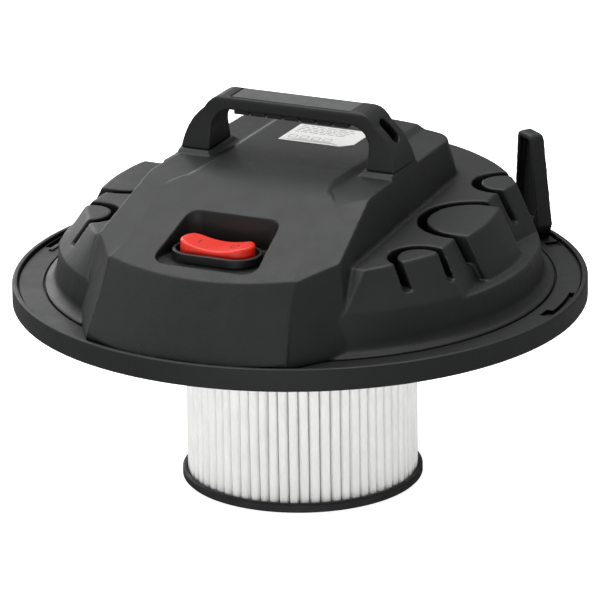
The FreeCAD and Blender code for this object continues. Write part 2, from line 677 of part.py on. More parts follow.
def make_lower_bracket():
    """Plate that closes the fan's can and carries the stator and the lower bearing."""
    low = at_level("floor_level") + D["gasket_thickness"] + D["pan_height"]
    high = low + D["bracket_thickness"]
    solid = pipe(D["pan_radius"], D["shaft_radius"] + 2, low, high)
    hub = pipe(D["bearing_radius"] + 3, D["shaft_radius"] + 2, low, high + D["bearing_width"])
    solid = solid.fuse(hub).cut(pipe(D["bearing_radius"], 0, high, high + D["bearing_width"] + 1))
    vent = stadium(14, 7, low - 1, high + 1, V(0, 26, 0))
    for cutter in around(vent, 6, 30):
        solid = solid.cut(cutter)
    post = Part.makeCylinder(5, at_level("stator_level") - high, V(D["stator_radius"] - 4, 0, high))
    for copy in around(post, 4, 45):
        solid = solid.fuse(copy)
    return solid.removeSplitter()


def make_stator():
    low = at_level("stator_level")
    high = low + D["stator_height"]
    solid = pipe(D["stator_radius"], D["stator_bore"], low, high)
    for side in (1, -1):
        gap = Part.makeBox(16, 20, 80, V(-8, -10, low - 20)).translated(V(side * 27.5, 0, 0))
        solid = solid.cut(gap.common(pipe(35.5, 0, low - 1, high + 1)))
    return solid


def make_windings():
    """Field coils: one bundle of wire through each side gap of the stator."""
    coil = Part.makeBox(8, 18, D["stator_height"], V(25.6, -9, at_level("stator_level")))
    return Part.makeCompound(both_sides(coil))


def make_armature():
    low = at_level("stator_level") + 1
    high = low + D["stator_height"] - 2
    radius = D["stator_bore"] - D["core_gap"]
    solid = pipe(radius, D["shaft_radius"], low, high)
    slot = Part.makeBox(6, 2.2, 80, V(radius - 5, -1.1, low - 20))
    for cutter in around(slot, 12):
        solid = solid.cut(cutter)
    return solid


def make_upper_bracket():
    """Bridge over the commutator, with the upper bearing's seat in it."""
    low = at_level("commutator_level") + D["commutator_height"] + 1.5
    high = low + D["bearing_width"]
    foot = at_level("stator_level") + D["stator_height"]
    bridge = Part.makeBox(76, 22, high - low, V(-38, -11, low))
    solid = bridge.fuse(pipe(D["bearing_radius"] + 3, 0, low, high))
    for side in (1, -1):
        solid = solid.fuse(Part.makeBox(6, 22, low - foot, V(side * 35 - 3, -11, foot)))
    solid = solid.cut(pipe(D["bearing_radius"], 0, low, high + 1))
    return solid.cut(pipe(D["shaft_radius"] + 2, 0, low - 5, high + 5)).removeSplitter()


def make_brushes():
    low = at_level("commutator_level") + (D["commutator_height"] - D["brush_width"]) / 2
    wide, start = D["brush_width"], D["commutator_radius"] + 0.3
    brush = Part.makeBox(D["brush_length"], wide, wide, V(start, -wide / 2, low))
    sleeve = Part.makeBox(D["brush_length"] - 2, wide + 3, wide + 3, V(start + 3, -wide / 2 - 1.5, low - 1.5))
    add("carbon_brushes", Part.makeCompound(both_sides(brush)))
    sleeve = sleeve.cut(Part.makeBox(40, wide, wide, V(start, -wide / 2, low)))
    add("brush_holders", Part.makeCompound(both_sides(sleeve)))


def make_motor():
    lower_bearing = ("floor_level + gasket_thickness + pan_height + bracket_thickness")
    upper_bearing = "commutator_level + commutator_height + 1.5"
    tube("motor_gasket", "pan_radius", "pan_radius - 6", "gasket_thickness", "rim_height + floor_level")
    add("fan_pan", make_fan_pan())
    add("fan_impeller", make_impeller())
    add("motor_lower_bracket", make_lower_bracket())
    add("motor_stator", make_stator())
    add("motor_windings", make_windings())
    add("motor_armature", make_armature())
    add("motor_upper_bracket", make_upper_bracket())
    sketched("motor_shaft", ["shaft_radius"], "shaft_length", "rim_height + shaft_foot_level")
    tube("motor_commutator", "commutator_radius", "shaft_radius", "commutator_height",
         "rim_height + commutator_level")
    sketched("lower_bearing", ["bearing_radius", "shaft_radius + fit_gap"], "bearing_width",
             "rim_height + " + lower_bearing)
    sketched("upper_bearing", ["bearing_radius", "shaft_radius + fit_gap"], "bearing_width",
             "rim_height + " + upper_bearing)
    make_brushes()
    tube("motor_top_damper", "bearing_radius + 3", "bearing_radius - 2",
         "deck_level - wall - commutator_level - commutator_height - 1.5 - bearing_width",
         "rim_height + " + upper_bearing + " + bearing_width")


# ---------------------------------------------------------------- filter and float

def make_filter():
    top = f"rim_height + floor_level - floor_wall - seal_thickness"
    tube("filter_media", "filter_radius", "filter_inner_radius",
         "rim_height + floor_level - floor_wall - seal_thickness - cap_floor", "cap_floor")
    radius, high, floor = D["cap_radius"], D["cap_height"], D["cap_floor"]
    lip = D["filter_radius"] + 0.2
    inner = D["core_radius"] - D["core_wall"] - 1
    add("filter_bottom_cap", turned([(0, 0), (radius - 1, 0), (radius, 1), (radius, high - 0.8),
                                     (radius - 0.8, high), (lip, high), (lip, floor), (0, floor)]))
    tube("filter_top_seal", "cap_radius", "core_radius - core_wall", "seal_thickness", top)
    core = pipe(D["core_radius"], D["core_radius"] - D["core_wall"], floor,
                level(FLOOR_UNDER) - D["seal_thickness"])
    window = Part.makeBox(10, 14, 24, V(inner - 3, -7, 0))
    for tier in range(3):
        for cutter in around(window.translated(V(0, 0, 14 + 34 * tier)), 12):
            core = core.cut(cutter)
    add("filter_core", core)


def make_float_cage():
    top = level(FLOOR_UNDER)
    low = top - D["cage_depth"]
    radius, thick = D["cage_radius"], D["cage_wall"]
    solid = turned([(0, low), (radius, low), (radius, top), (radius - thick, top), (radius - thick, low + thick),
                    (0, low + thick)])
    window = Part.makeBox(12, 9, D["cage_depth"] - 16, V(radius - 6, -4.5, low + 8))
    for cutter in around(window, 16):
        solid = solid.cut(cutter)
    drain = Part.makeCylinder(4, 8, V(20, 0, low - 2))
    for cutter in around(drain, 6):
        solid = solid.cut(cutter)
    return solid


def make_float():
    low = level(FLOOR_UNDER) - D["cage_depth"] + D["cage_wall"]
    radius, high, thick = D["float_radius"], low + D["float_height"], 1.6
    add("float_cup", turned([(0, high - thick), (radius - thick, high - thick), (radius - thick, low),
                             (radius, low), (radius, high - 2), (radius - 2, high), (0, high)]))
    add("float_seal", pipe(radius - 2, 0, high, high + D["float_seal_thickness"]))


# ---------------------------------------------------------------- hook, gland, label, fasteners

def make_cable_hook():
    """Upright paddle on the ledge that the cord is wound round, hollowed on its inner face."""
    low_half, top_half = D["hook_width"] / 2, D["hook_top_width"] / 2
    tall, foot = D["hook_height"], level(-D["ledge_drop"])
    side = wire([V(-5.2, 0, foot), V(5.8, 0, foot), V(6.0, 0, foot + 8), V(3.4, 0, foot + tall - 3),
                 (V(2.7, 0, foot + tall - 0.9), V(0.9, 0, foot + tall)), V(-4.2, 0, foot + tall),
                 (V(-5.8, 0, foot + tall - 0.9), V(-6.4, 0, foot + tall - 3))])
    solid = Part.Face(side).extrude(V(0, 60, 0)).translated(V(0, -30, 0))

    def paddle(inset, low, high, turn):
        """Outline seen from the axis: widest above its neck, narrow and rounded at the top."""
        shoulder, waist = low_half - inset, low_half - 4.5 - inset
        top = top_half - inset
        return wire([V(-20, -waist, low), V(-20, -shoulder, low + 10), V(-20, -top, high - turn),
                     (V(-20, -top + turn * 0.29, high - turn * 0.29), V(-20, -top + turn, high)),
                     V(-20, top - turn, high),
                     (V(-20, top - turn * 0.29, high - turn * 0.29), V(-20, top, high - turn)),
                     V(-20, shoulder, low + 10), V(-20, waist, low)])

    solid = solid.common(Part.Face(paddle(0, foot, foot + tall + 0.1, 5.5)).extrude(V(40, 0, 0)))
    recess = Part.Face(paddle(2.8, foot + 13, foot + tall - 4, 2.5)).extrude(V(18.2, 0, 0))
    solid = solid.cut(recess)
    tab = Part.makeBox(5.6, 11.6, 3, V(-2.8, -5.8, foot - 3))
    return hook_frame(solid.fuse(tab).removeSplitter())


def make_gland():
    """Rubber grommet in the rear boss; the cord's way in."""
    face = 106.0
    outer = gland_boss(D["gland_flange"], face, face + 3).fuse(gland_boss(D["gland_radius"], face - 16, face + 0.5))
    outer = outer.fuse(gland_boss(6.4, face + 2, face + 12))
    return outer.cut(gland_boss(D["cord_radius"], face - 20, face + 14)).removeSplitter()


def make_label():
    """Rating plate stuck on the deck behind the handle, one corner cut off."""
    low = level(D["deck_level"] + D["deck_raise"])
    return prism([(-26, 24), (19, 24), (26, 31), (26, 60), (-26, 60)], low, low + 0.3)


def make_fasteners():
    under, shank, head = level(FLOOR_UNDER), D["screw_radius"], D["screw_head"]
    screws = []
    for x, y in screw_places():
        body = Part.makeCylinder(shank, 15, V(x, y, under))
        screws.append(body.fuse(Part.makeCylinder(head, 2.4, V(x, y, under - 2.4))))
    add("housing_screws", Part.makeCompound(screws))
    screws = []
    for x, y in handle_screw_places():
        body = Part.makeCylinder(shank, 14, V(x, y, at_level("deck_level") - WALL))
        top = Part.makeCylinder(head, 2.2, V(x, y, at_level("deck_level") - WALL - 2.2))
        screws.append(body.fuse(top))
    add("handle_screws", Part.makeCompound(screws))


def make_tank_seal():
    under = level(-D["ledge_drop"] - D["ledge_wall"])
    inner, outer = D["spigot_radius"] + 2, D["rim_radius"] - D["skirt_wall"] - 1.5
    return pipe(outer, inner, under - 3, under)


def check_and_write():
    doc.recompute()
    for item in doc.Objects:
        if "Invalid" in item.State or "Error" in item.State:
            raise RuntimeError(f"{item.Label} failed: {item.State}")
    for part in parts:
        if part.Shape.isNull() or not part.Shape.isValid():
            raise RuntimeError(f"{part.Label} has no valid shape")
    os.makedirs("parts", exist_ok=True)
    for part in parts:
        part.Shape.exportStep(f"parts/{part.Label}.step")
        box = part.Shape.BoundBox
        print(f"{part.Label:22s} {len(part.Shape.Solids):2d} {part.Shape.Volume:10.0f}"
              f"  {box.XLength:6.1f} {box.YLength:6.1f}  z {box.ZMin:6.1f} {box.ZMax:6.1f}")


def main():
    add("base_plate", make_base_plate())
    add("top_housing", make_housing())
    add("handle_body", make_handle())
    add("handle_top_inlay", handle_inlay_block(0.0, 0.4))
    add("handle_finger_grip", make_grip())
    make_switch()
    make_motor()
    make_filter()
    add("float_cage", make_float_cage())
    make_float()
    add("cable_hook", make_cable_hook())
    add("cord_gland", make_gland())
    add("rating_label", make_label())
    add("tank_seal", make_tank_seal())
    make_fasteners()
    check_and_write()


main()
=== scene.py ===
"""Looks of the vacuum's motor head: rounded mouldings, pleated filter, materials, light and camera."""
import json
import math
import random

import bmesh
import bpy
import numpy as np
from mathutils import Matrix, Vector
from mathutils.bvhtree import BVHTree

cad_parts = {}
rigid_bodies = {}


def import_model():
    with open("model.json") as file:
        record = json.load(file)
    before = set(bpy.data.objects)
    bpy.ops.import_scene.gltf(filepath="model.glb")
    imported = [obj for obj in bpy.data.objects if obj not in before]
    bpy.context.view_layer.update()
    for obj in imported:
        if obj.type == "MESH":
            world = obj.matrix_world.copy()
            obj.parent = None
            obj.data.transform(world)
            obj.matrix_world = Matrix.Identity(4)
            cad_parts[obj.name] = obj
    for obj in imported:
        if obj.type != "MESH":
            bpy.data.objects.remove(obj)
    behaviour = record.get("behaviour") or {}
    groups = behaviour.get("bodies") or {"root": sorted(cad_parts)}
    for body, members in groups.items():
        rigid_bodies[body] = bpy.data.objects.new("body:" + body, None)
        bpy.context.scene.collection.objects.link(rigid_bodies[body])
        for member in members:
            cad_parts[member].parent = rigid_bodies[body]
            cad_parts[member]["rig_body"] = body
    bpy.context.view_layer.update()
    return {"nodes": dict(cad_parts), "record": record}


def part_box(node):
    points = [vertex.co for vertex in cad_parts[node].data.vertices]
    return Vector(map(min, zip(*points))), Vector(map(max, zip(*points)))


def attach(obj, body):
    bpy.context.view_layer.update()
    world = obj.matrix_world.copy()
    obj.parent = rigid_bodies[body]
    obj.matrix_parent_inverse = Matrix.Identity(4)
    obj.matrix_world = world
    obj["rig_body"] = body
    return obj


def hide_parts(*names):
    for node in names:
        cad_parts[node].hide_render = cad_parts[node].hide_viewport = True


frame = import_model()
MM = 0.001
random.seed(7)

NODES = frame["nodes"]
RIM_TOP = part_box("base_plate")[1].z


# ---------------------------------------------------------------- shader helpers

# Places of a colour mix node's sockets, whose names are not unique.
MIX_FACTOR, MIX_A, MIX_B, MIX_RESULT = 0, 6, 7, 2


class Shader:
    """A material under construction: one Principled shader and the nodes that feed it."""

    def __init__(self, name, colour, roughness, metallic=0.0, specular=0.5, coat=0.0, sheen=0.0,
                 edge_mm=0.0):
        self.material = bpy.data.materials.new(name)
        self.material.use_nodes = True
        self.tree = self.material.node_tree
        self.principled = self.tree.nodes["Principled BSDF"]
        self.coords = self.tree.nodes.new("ShaderNodeTexCoord").outputs["Object"]
        self.material.diffuse_color = (*colour, 1)
        looks = {"Base Color": (*colour, 1), "Roughness": roughness, "Metallic": metallic,
                 "Specular IOR Level": specular, "Coat Weight": coat, "Sheen Weight": sheen}
        for socket, value in looks.items():
            self.principled.inputs[socket].default_value = value
        self.colour = colour
        self.height = None
        if edge_mm:
            bevel = self.node("ShaderNodeBevel", samples=4)
            bevel.inputs["Radius"].default_value = edge_mm * MM
            self.height = bevel.outputs["Normal"]

    def node(self, kind, **settings):
        """Add a shader node with the given settings."""
        node = self.tree.nodes.new(kind)
        for key, value in settings.items():
            setattr(node, key, value)
        return node

    def join(self, output, node, socket):
        """Feed an output into a node's named or numbered input."""
        self.tree.links.new(output, node.inputs[socket])

    def noise(self, size_mm, detail=2.0, stretch=(1, 1, 1), rough=0.5):
        """A noise pattern whose blobs are about size_mm across."""
        place = self.node("ShaderNodeMapping")
        place.inputs["Scale"].default_value = tuple(1000.0 / size_mm / s for s in stretch)
        self.join(self.coords, place, "Vector")
        noise = self.node("ShaderNodeTexNoise")
        noise.inputs["Scale"].default_value = 1.0
        noise.inputs["Detail"].default_value = detail
        noise.inputs["Roughness"].default_value = rough
        self.join(place.outputs["Vector"], noise, "Vector")
        return noise.outputs["Fac"]

    def cells(self, size_mm):
        """Soft-edged cells about size_mm apart."""
        place = self.node("ShaderNodeMapping")
        place.inputs["Scale"].default_value = (1000.0 / size_mm,) * 3
        self.join(self.coords, place, "Vector")
        voronoi = self.node("ShaderNodeTexVoronoi", feature="SMOOTH_F1")
        voronoi.inputs["Scale"].default_value = 1.0
        self.join(place.outputs["Vector"], voronoi, "Vector")
        return voronoi.outputs["Distance"]

    def spread(self, pattern, low, high, start=0.3, end=0.7):
        """Map a pattern to a range of numbers."""
        ramp = self.node("ShaderNodeMapRange")
        for socket, value in (("From Min", start), ("From Max", end), ("To Min", low), ("To Max", high)):
            ramp.inputs[socket].default_value = value
        self.join(pattern, ramp, "Value")
        return ramp.outputs["Result"]

    def vary_colour(self, pattern, darker, lighter, start=0.3, end=0.7):
        """Let the base colour wander between two brightnesses."""
        ramp = self.node("ShaderNodeMix", data_type="RGBA")
        for socket, factor in ((MIX_A, darker), (MIX_B, lighter)):
            ramp.inputs[socket].default_value = (*[min(1.0, c * factor) for c in self.colour], 1)
        self.join(self.spread(pattern, 0.0, 1.0, start, end), ramp, MIX_FACTOR)
        self.join(ramp.outputs[MIX_RESULT], self.principled, "Base Color")

    def vary_roughness(self, pattern, low, high, start=0.3, end=0.7):
        """Let the gloss wander between two roughnesses."""
        self.join(self.spread(pattern, low, high, start, end), self.principled, "Roughness")

    def bump(self, pattern, depth_mm, strength=1.0):
        """Add a relief to the surface; several calls stack up."""
        bump = self.node("ShaderNodeBump")
        bump.inputs["Distance"].default_value = depth_mm * MM
        bump.inputs["Strength"].default_value = strength
        self.join(pattern, bump, "Height")
        if self.height is not None:
            self.join(self.height, bump, "Normal")
        self.height = bump.outputs["Normal"]
        self.join(self.height, self.principled, "Normal")


def paint_shade_in_hollows(shader, reach_mm, share):
    """Paint shade into grooves and pockets: ambient occlusion darkens the base colour and lowers the
    specular the more closed in a place is.
    """
    hollow = shader.node("ShaderNodeAmbientOcclusion", samples=6)
    hollow.inputs["Distance"].default_value = reach_mm * MM
    painted_shade_share = shader.spread(hollow.outputs["AO"], 1 - share, 1.0, 0.25, 0.85)
    shine = shader.node("ShaderNodeMath", operation="MULTIPLY")
    shine.inputs[1].default_value = shader.principled.inputs["Specular IOR Level"].default_value
    shader.join(painted_shade_share, shine, 0)
    shader.join(shine.outputs[0], shader.principled, "Specular IOR Level")
    colour = shader.principled.inputs["Base Color"].links[0].from_socket
    # Painted shade: the base colour is multiplied by the occlusion share, so hollows come out darker.
    painted_shade_tint = shader.node("ShaderNodeMix", data_type="RGBA", blend_type="MULTIPLY")
    painted_shade_tint.inputs[MIX_FACTOR].default_value = 1.0
    shader.join(colour, painted_shade_tint, MIX_A)
    shader.join(painted_shade_share, painted_shade_tint, MIX_B)
    shader.join(painted_shade_tint.outputs[MIX_RESULT], shader.principled, "Base Color")


def grained_plastic(name, colour, roughness=0.5, grain_mm=0.55, depth=0.05, edge_mm=0.0):
    """Moulded plastic with a fine etched grain, faint flow marks, patches of rubbed gloss, and painted
    shade darkening its hollows.
    """
    shader = Shader(name, colour, roughness, specular=0.45, edge_mm=edge_mm)
    shader.vary_colour(shader.noise(38, 4, rough=0.6), 0.93, 1.08)
    shader.vary_roughness(shader.noise(16, 5, rough=0.65), roughness - 0.05, roughness + 0.07)
    shader.bump(shader.cells(grain_mm * 1.6), depth)
    shader.bump(shader.noise(grain_mm, 3), depth * 0.8)
    # Painted shade: grooves and pockets within 14 mm are darkened in colour and gloss by ambient occlusion.
    paint_shade_in_hollows(shader, 14, 0.85)
    return shader.material


def smooth_plastic(name, colour, roughness=0.28, coat=0.15, edge_mm=0.0):
    """Polished moulding with a very light orange peel."""
    shader = Shader(name, colour, roughness, specular=0.5, coat=coat, edge_mm=edge_mm)
    shader.vary_colour(shader.noise(14, 3), 0.95, 1.05)
    shader.vary_roughness(shader.noise(5, 4), roughness - 0.05, roughness + 0.08)
    shader.bump(shader.noise(2.4, 2), 0.012)
    return shader.material


def soft_rubber(name, colour, roughness=0.72, edge_mm=0.4):
    """Matt elastomer with a dusty, slightly pitted skin."""
    shader = Shader(name, colour, roughness, specular=0.3, sheen=0.06, edge_mm=edge_mm)
    shader.vary_colour(shader.noise(9, 4), 0.88, 1.14)
    shader.vary_roughness(shader.noise(4, 3), roughness - 0.07, roughness + 0.08)
    shader.bump(shader.noise(0.5, 3), 0.03)
    return shader.material


def brushed_metal(name, colour, roughness=0.3, stretch=(1, 1, 14)):
    """Metal with fine drawn lines and a few duller patches."""
    shader = Shader(name, colour, roughness, metallic=1.0)
    shader.vary_colour(shader.noise(6, 4), 0.86, 1.08)
    lines = shader.noise(0.35, 2, stretch)
    shader.vary_roughness(lines, roughness - 0.08, roughness + 0.12)
    shader.bump(lines, 0.006)
    return shader.material


def filter_paper(name):
    """Needle-felt filter paper: fibres and faint stains."""
    shader = Shader(name, (0.94, 0.94, 0.925), 0.92, specular=0.15, sheen=0.1)
    shader.vary_colour(shader.noise(7, 6, (1, 1, 3), 0.7), 0.93, 1.04)
    shader.bump(shader.noise(0.6, 6, (1, 1, 2.5), 0.75), 0.06)
    shader.bump(shader.noise(3.5, 3), 0.10)
    return shader.material


def cast_polyurethane(name):
    """Poured end cap: matt black with pin holes and a slightly uneven skin."""
    shader = Shader(name, (0.022, 0.022, 0.023), 0.55, specular=0.4, edge_mm=0.9)
    shader.vary_roughness(shader.noise(8, 4), 0.45, 0.66)
    shader.vary_colour(shader.noise(12, 4), 0.85, 1.3)
    shader.bump(shader.noise(1.8, 4), 0.05)
    return shader.material


def printed_foil(name):
    """Satin white foil of the rating plate."""
    shader = Shader(name, (0.83, 0.83, 0.82), 0.38, specular=0.5)
    shader.vary_colour(shader.noise(10, 3), 0.97, 1.02)
    shader.vary_roughness(shader.noise(3, 3), 0.33, 0.46)
    shader.bump(shader.noise(4, 2), 0.01)
    return shader.material


def wound_wire(name):
    """Enamelled copper wire laid in rows."""
    shader = Shader(name, (0.45, 0.16, 0.06), 0.3, metallic=0.8)
    wave = shader.node("ShaderNodeTexWave", wave_type="BANDS", bands_direction="X")
    wave.inputs["Scale"].default_value = 380.0
    wave.inputs["Distortion"].default_value = 1.2
    shader.join(shader.coords, wave, "Vector")
    shader.bump(wave.outputs["Fac"], 0.25)
    shader.vary_colour(shader.noise(2, 3), 0.8, 1.1)
    return shader.material


MATERIALS = {
    "housing_black": grained_plastic("charcoal_grained", (0.017, 0.018, 0.018), 0.45),
    "rim_black": grained_plastic("rim_grained", (0.013, 0.014, 0.014), 0.48, 0.5, edge_mm=0.7),
    "soft_grip": soft_rubber("grip_soft_touch", (0.105, 0.108, 0.107), 0.66, 0.5),
    "switch_red": smooth_plastic("rocker_red", (0.93, 0.030, 0.012), 0.36, 0.1),
    "switch_black": smooth_plastic("switch_black_satin", (0.010, 0.010, 0.011), 0.36, 0.05, 0.7),
    "rubber_black": soft_rubber("rubber_black", (0.020, 0.020, 0.021)),
    "filter_paper": filter_paper("filter_paper"),
    "filter_cap": cast_polyurethane("filter_cap_black"),
    "core_plastic": grained_plastic("core_plastic", (0.05, 0.05, 0.052), 0.5),
    "label_white": printed_foil("label_foil"),
    "steel": brushed_metal("ground_steel", (0.56, 0.57, 0.58), 0.24),
    "zinc_steel": brushed_metal("zinc_plated", (0.62, 0.62, 0.60), 0.34, (1, 1, 1)),
    "aluminium_cast": brushed_metal("cast_aluminium", (0.60, 0.60, 0.61), 0.46, (1, 1, 1)),
    "lamination": brushed_metal("laminated_iron", (0.22, 0.22, 0.23), 0.42, (14, 14, 1)),
    "copper_wire": wound_wire("enamelled_wire"),
    "copper_bar": brushed_metal("copper_bars", (0.72, 0.36, 0.20), 0.3),
    "brass_tab": brushed_metal("stamped_brass", (0.72, 0.54, 0.24), 0.32, (6, 1, 1)),
    "carbon": grained_plastic("pressed_carbon", (0.02, 0.02, 0.022), 0.6, 0.4),
    "mark_grey": smooth_plastic("print_grey", (0.22, 0.22, 0.22), 0.6, 0.0),
    "mark_red": smooth_plastic("mark_dark_red", (0.30, 0.006, 0.004), 0.5, 0.0),
}


# ---------------------------------------------------------------- mesh helpers

def dress(piece, material):
    """Give a piece one material on all its faces."""
    piece.data.materials.clear()
    piece.data.materials.append(MATERIALS[material])
    return piece


def body_of(node):
    """The body that a CAD node belongs to."""
    return NODES[node]["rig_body"]


def link(name, mesh):
    """Put a mesh into the scene as a named object."""
    piece = bpy.data.objects.new(name, mesh)
    bpy.context.scene.collection.objects.link(piece)
    return piece


def apply_modifiers(piece):
    """Bake a piece's modifiers into its mesh."""
    graph = bpy.context.evaluated_depsgraph_get()
    mesh = bpy.data.meshes.new_from_object(piece.evaluated_get(graph))
    piece.modifiers.clear()
    piece.data = mesh


def moulded(node, name, voxel_mm, smoothing, keep, material):
    """A CAD part as it comes from its mould, every edge gently rounded; keep is the share of faces left."""
    piece = link(name, NODES[node].data.copy())
    remesh = piece.modifiers.new("even", "REMESH")
    remesh.mode = "VOXEL"
    remesh.voxel_size = voxel_mm * MM * 1.0
    remesh.use_smooth_shade = True
    relax = piece.modifiers.new("round", "SMOOTH")
    relax.factor = 0.5
    relax.iterations = smoothing
    thin = piece.modifiers.new("thin", "DECIMATE")
    thin.ratio = keep
    apply_modifiers(piece)
    piece.data.shade_smooth()
    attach(piece, body_of(node))
    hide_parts(node)
    return dress(piece, material)


def slot_of(node):
    """The material slot that the record gives a CAD node."""
    for entry in frame["record"]["subparts"]:
        if entry["node"] == node:
            return entry["material_slot"]
    return None


# ---------------------------------------------------------------- pieces

def make_mouldings():
    """Visible mouldings with softened edges; gives back the rocker, which carries marks."""
    moulded("top_housing", "housing_shell", 0.95, 3, 0.27, "housing_black")
    moulded("handle_body", "carry_handle", 0.6, 3, 0.45, "housing_black")
    moulded("cable_hook", "cord_paddle", 0.6, 3, 0.6, "rim_black")
    return moulded("switch_rocker", "rocker_cap", 0.4, 4, 0.5, "switch_red")


PLEATS = 68
PLEAT_DEPTH = 6.4 * MM
PAPER_BAND = 12.6 * MM              # from the crests in to the flat inner wall
CREST_DROP = 0.15 * MM              # keeps the crests inside the CAD tube
CREST_TILT = 0.55 * MM              # rise of one side of a crest and drop of the other, times the skew
FOLD_SHARPNESS = 5                  # higher gives broader crests and narrower valleys
STEPS_PER_PLEAT, PLEAT_ROWS = 16, 24


def make_pleats():
    """Filter paper folded into pleats: broad round crests with narrow, uneven valleys."""
    low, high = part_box("filter_media")
    crest, inner = high.x, high.x - PAPER_BAND
    lean = [random.uniform(-0.22, 0.22) for _ in range(PLEATS)]
    reach = [random.uniform(-0.7, 0.0) * MM for _ in range(PLEATS)]
    shift = [random.uniform(-0.10, 0.10) for _ in range(PLEATS)]
    bow = [random.uniform(-0.16, 0.16) for _ in range(PLEATS)]
    skew = [random.choice((-0.25, 0.0, 0.2, 0.35)) for _ in range(PLEATS)]
    pitch = 2 * math.pi / PLEATS
    vertices, faces = [], []
    count = PLEATS * STEPS_PER_PLEAT
    for row in range(PLEAT_ROWS + 1):
        rise = row / PLEAT_ROWS
        z = low.z + (high.z - low.z) * rise
        for pleat in range(PLEATS):
            following = (pleat + 1) % PLEATS
            start = (pleat - 0.5 + shift[pleat]) * pitch
            end = (pleat + 0.5 + shift[following]) * pitch
            sway = (bow[pleat] * math.sin(math.pi * rise) + lean[pleat] * (rise - 0.5)) * pitch * 0.5
            for step in range(STEPS_PER_PLEAT):
                across = step / STEPS_PER_PLEAT
                slope = CREST_TILT * skew[pleat] * (2 * across - 1)
                fold = abs(2 * across - 1) ** FOLD_SHARPNESS
                radius = crest - CREST_DROP + (reach[pleat] + slope) * (1 - fold) - PLEAT_DEPTH * fold
                angle = start + (end - start) * across + sway * (1 - fold)
                vertices.append((radius * math.cos(angle), radius * math.sin(angle), z))
    inside_low = len(vertices)
    inside_high = inside_low + count
    for z in (low.z, high.z):
        for index in range(count):
            angle = (index / STEPS_PER_PLEAT - 0.5) * pitch
            vertices.append((inner * math.cos(angle), inner * math.sin(angle), z))
    for row in range(PLEAT_ROWS):
        for index in range(count):
            following = (index + 1) % count
            faces.append((row * count + index, row * count + following,
                          (row + 1) * count + following, (row + 1) * count + index))
    top = PLEAT_ROWS * count
    for index in range(count):
        following = (index + 1) % count
        faces.append((inside_low + index, inside_low + following, following, index))
        faces.append((top + index, top + following, inside_high + following, inside_high + index))
        faces.append((inside_low + following, inside_low + index,
                      inside_high + index, inside_high + following))
    mesh = bpy.data.meshes.new("pleated_paper")
    mesh.from_pydata(vertices, [], faces)
    mesh.validate()
    mesh.shade_smooth()
    mesh.set_sharp_from_angle(angle=math.radians(62))
    piece = link("pleated_paper", mesh)
    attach(piece, body_of("filter_media"))
    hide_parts("filter_media")
    dress(piece, "filter_paper")


def flat_marks(name, outlines, onto, lift, body, material):
    """Small printed shapes laid on the surface below them; each outline is a list of (x, y)."""
    tree = BVHTree.FromObject(onto, bpy.context.evaluated_depsgraph_get())
    made = bmesh.new()
    for outline in outlines:
        ring = []
        for x, y in outline:
            ground = tree.ray_cast(Vector((x, y, 1.0)), Vector((0, 0, -1)))[0]
            ring.append(made.verts.new((x, y, ground.z + lift)))
        under = [made.verts.new(v.co - Vector((0, 0, lift * 1.6))) for v in ring]
        made.faces.new(ring)
        made.faces.new(list(reversed(under)))
        for index, vertex in enumerate(ring):
            after = (index + 1) % len(ring)
            made.faces.new((vertex, under[index], under[after], ring[after]))
    bmesh.ops.recalc_face_normals(made, faces=made.faces)
    mesh = bpy.data.meshes.new(name)
    made.to_mesh(mesh)
    made.free()
    piece = link(name, mesh)
    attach(piece, body)
    dress(piece, material)


def rectangle(x, y, width, height):
    """Corners of a rectangle round (x, y), anticlockwise."""
    return [(x + across * width / 2, y + along * height / 2)
            for across, along in ((-1, -1), (1, -1), (1, 1), (-1, 1))]


def ring_outlines(x, y, radius, wide, segments=20):
    """A ring as a row of small four-cornered pieces."""
    pieces = []
    for step in range(segments):
        a, b = (2 * math.pi * (step + part) / segments for part in (0, 1.02))
        pieces.append([(x + r * math.cos(t), y + r * math.sin(t))
                       for r, t in ((radius, a), (radius + wide, a), (radius + wide, b), (radius, b))])
    return pieces


def make_switch_marks(rocker):
    """A plain bar and a plain ring, the usual on and off marks."""
    low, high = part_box("switch_rocker")
    middle_y = (low.y + high.y) / 2
    span = high.x - low.x
    right, left = low.x + span * 0.74, low.x + span * 0.26
    bar = [rectangle(left, middle_y, 0.9 * MM, 6.4 * MM)]
    flat_marks("switch_marks", bar + ring_outlines(right, middle_y, 2.4 * MM, 0.8 * MM), rocker, 0.06 * MM,
               body_of("switch_rocker"), "mark_red")


def make_label_marks():
    """Rows of plain bars and empty frames that stand for the rating plate's print."""
    low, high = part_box("rating_label")
    left, right = low.x + 3 * MM, high.x - 4 * MM
    front, back = low.y + 3.5 * MM, high.y - 3 * MM
    shapes = []
    bar_rows, row_pitch, bar_height, bar_gap, least_room = 5, 3.2 * MM, 0.8 * MM, 1.3 * MM, 9 * MM
    for row in range(bar_rows):
        y = back - row * row_pitch
        x = left
        while x < right - least_room:
            width = random.choice((3.0, 4.5, 6.5)) * MM
            shapes.append(rectangle(x + width / 2, y, width, bar_height))
            x += width + bar_gap
    frames, first_frame, frame_pitch, size, line = 4, 3.5 * MM, 8.4 * MM, 5.2 * MM, 0.45 * MM
    y = front + 6.0 * MM
    for index in range(frames):
        x = left + first_frame + frame_pitch * index
        shapes += [rectangle(x, y + side * size / 2, size, line) for side in (1, -1)]
        shapes += [rectangle(x + side * size / 2, y, line, size) for side in (1, -1)]
    for index in range(3):
        y = front + (1.3 * index - 0.9) * MM
        width = right - left - (8 + 6 * index) * MM
        shapes.append(rectangle((left + right) / 2 - 2 * MM, y, width, 0.4 * MM))
    flat_marks("label_print", shapes, NODES["rating_label"], 0.05 * MM, body_of("rating_label"),
               "mark_grey")


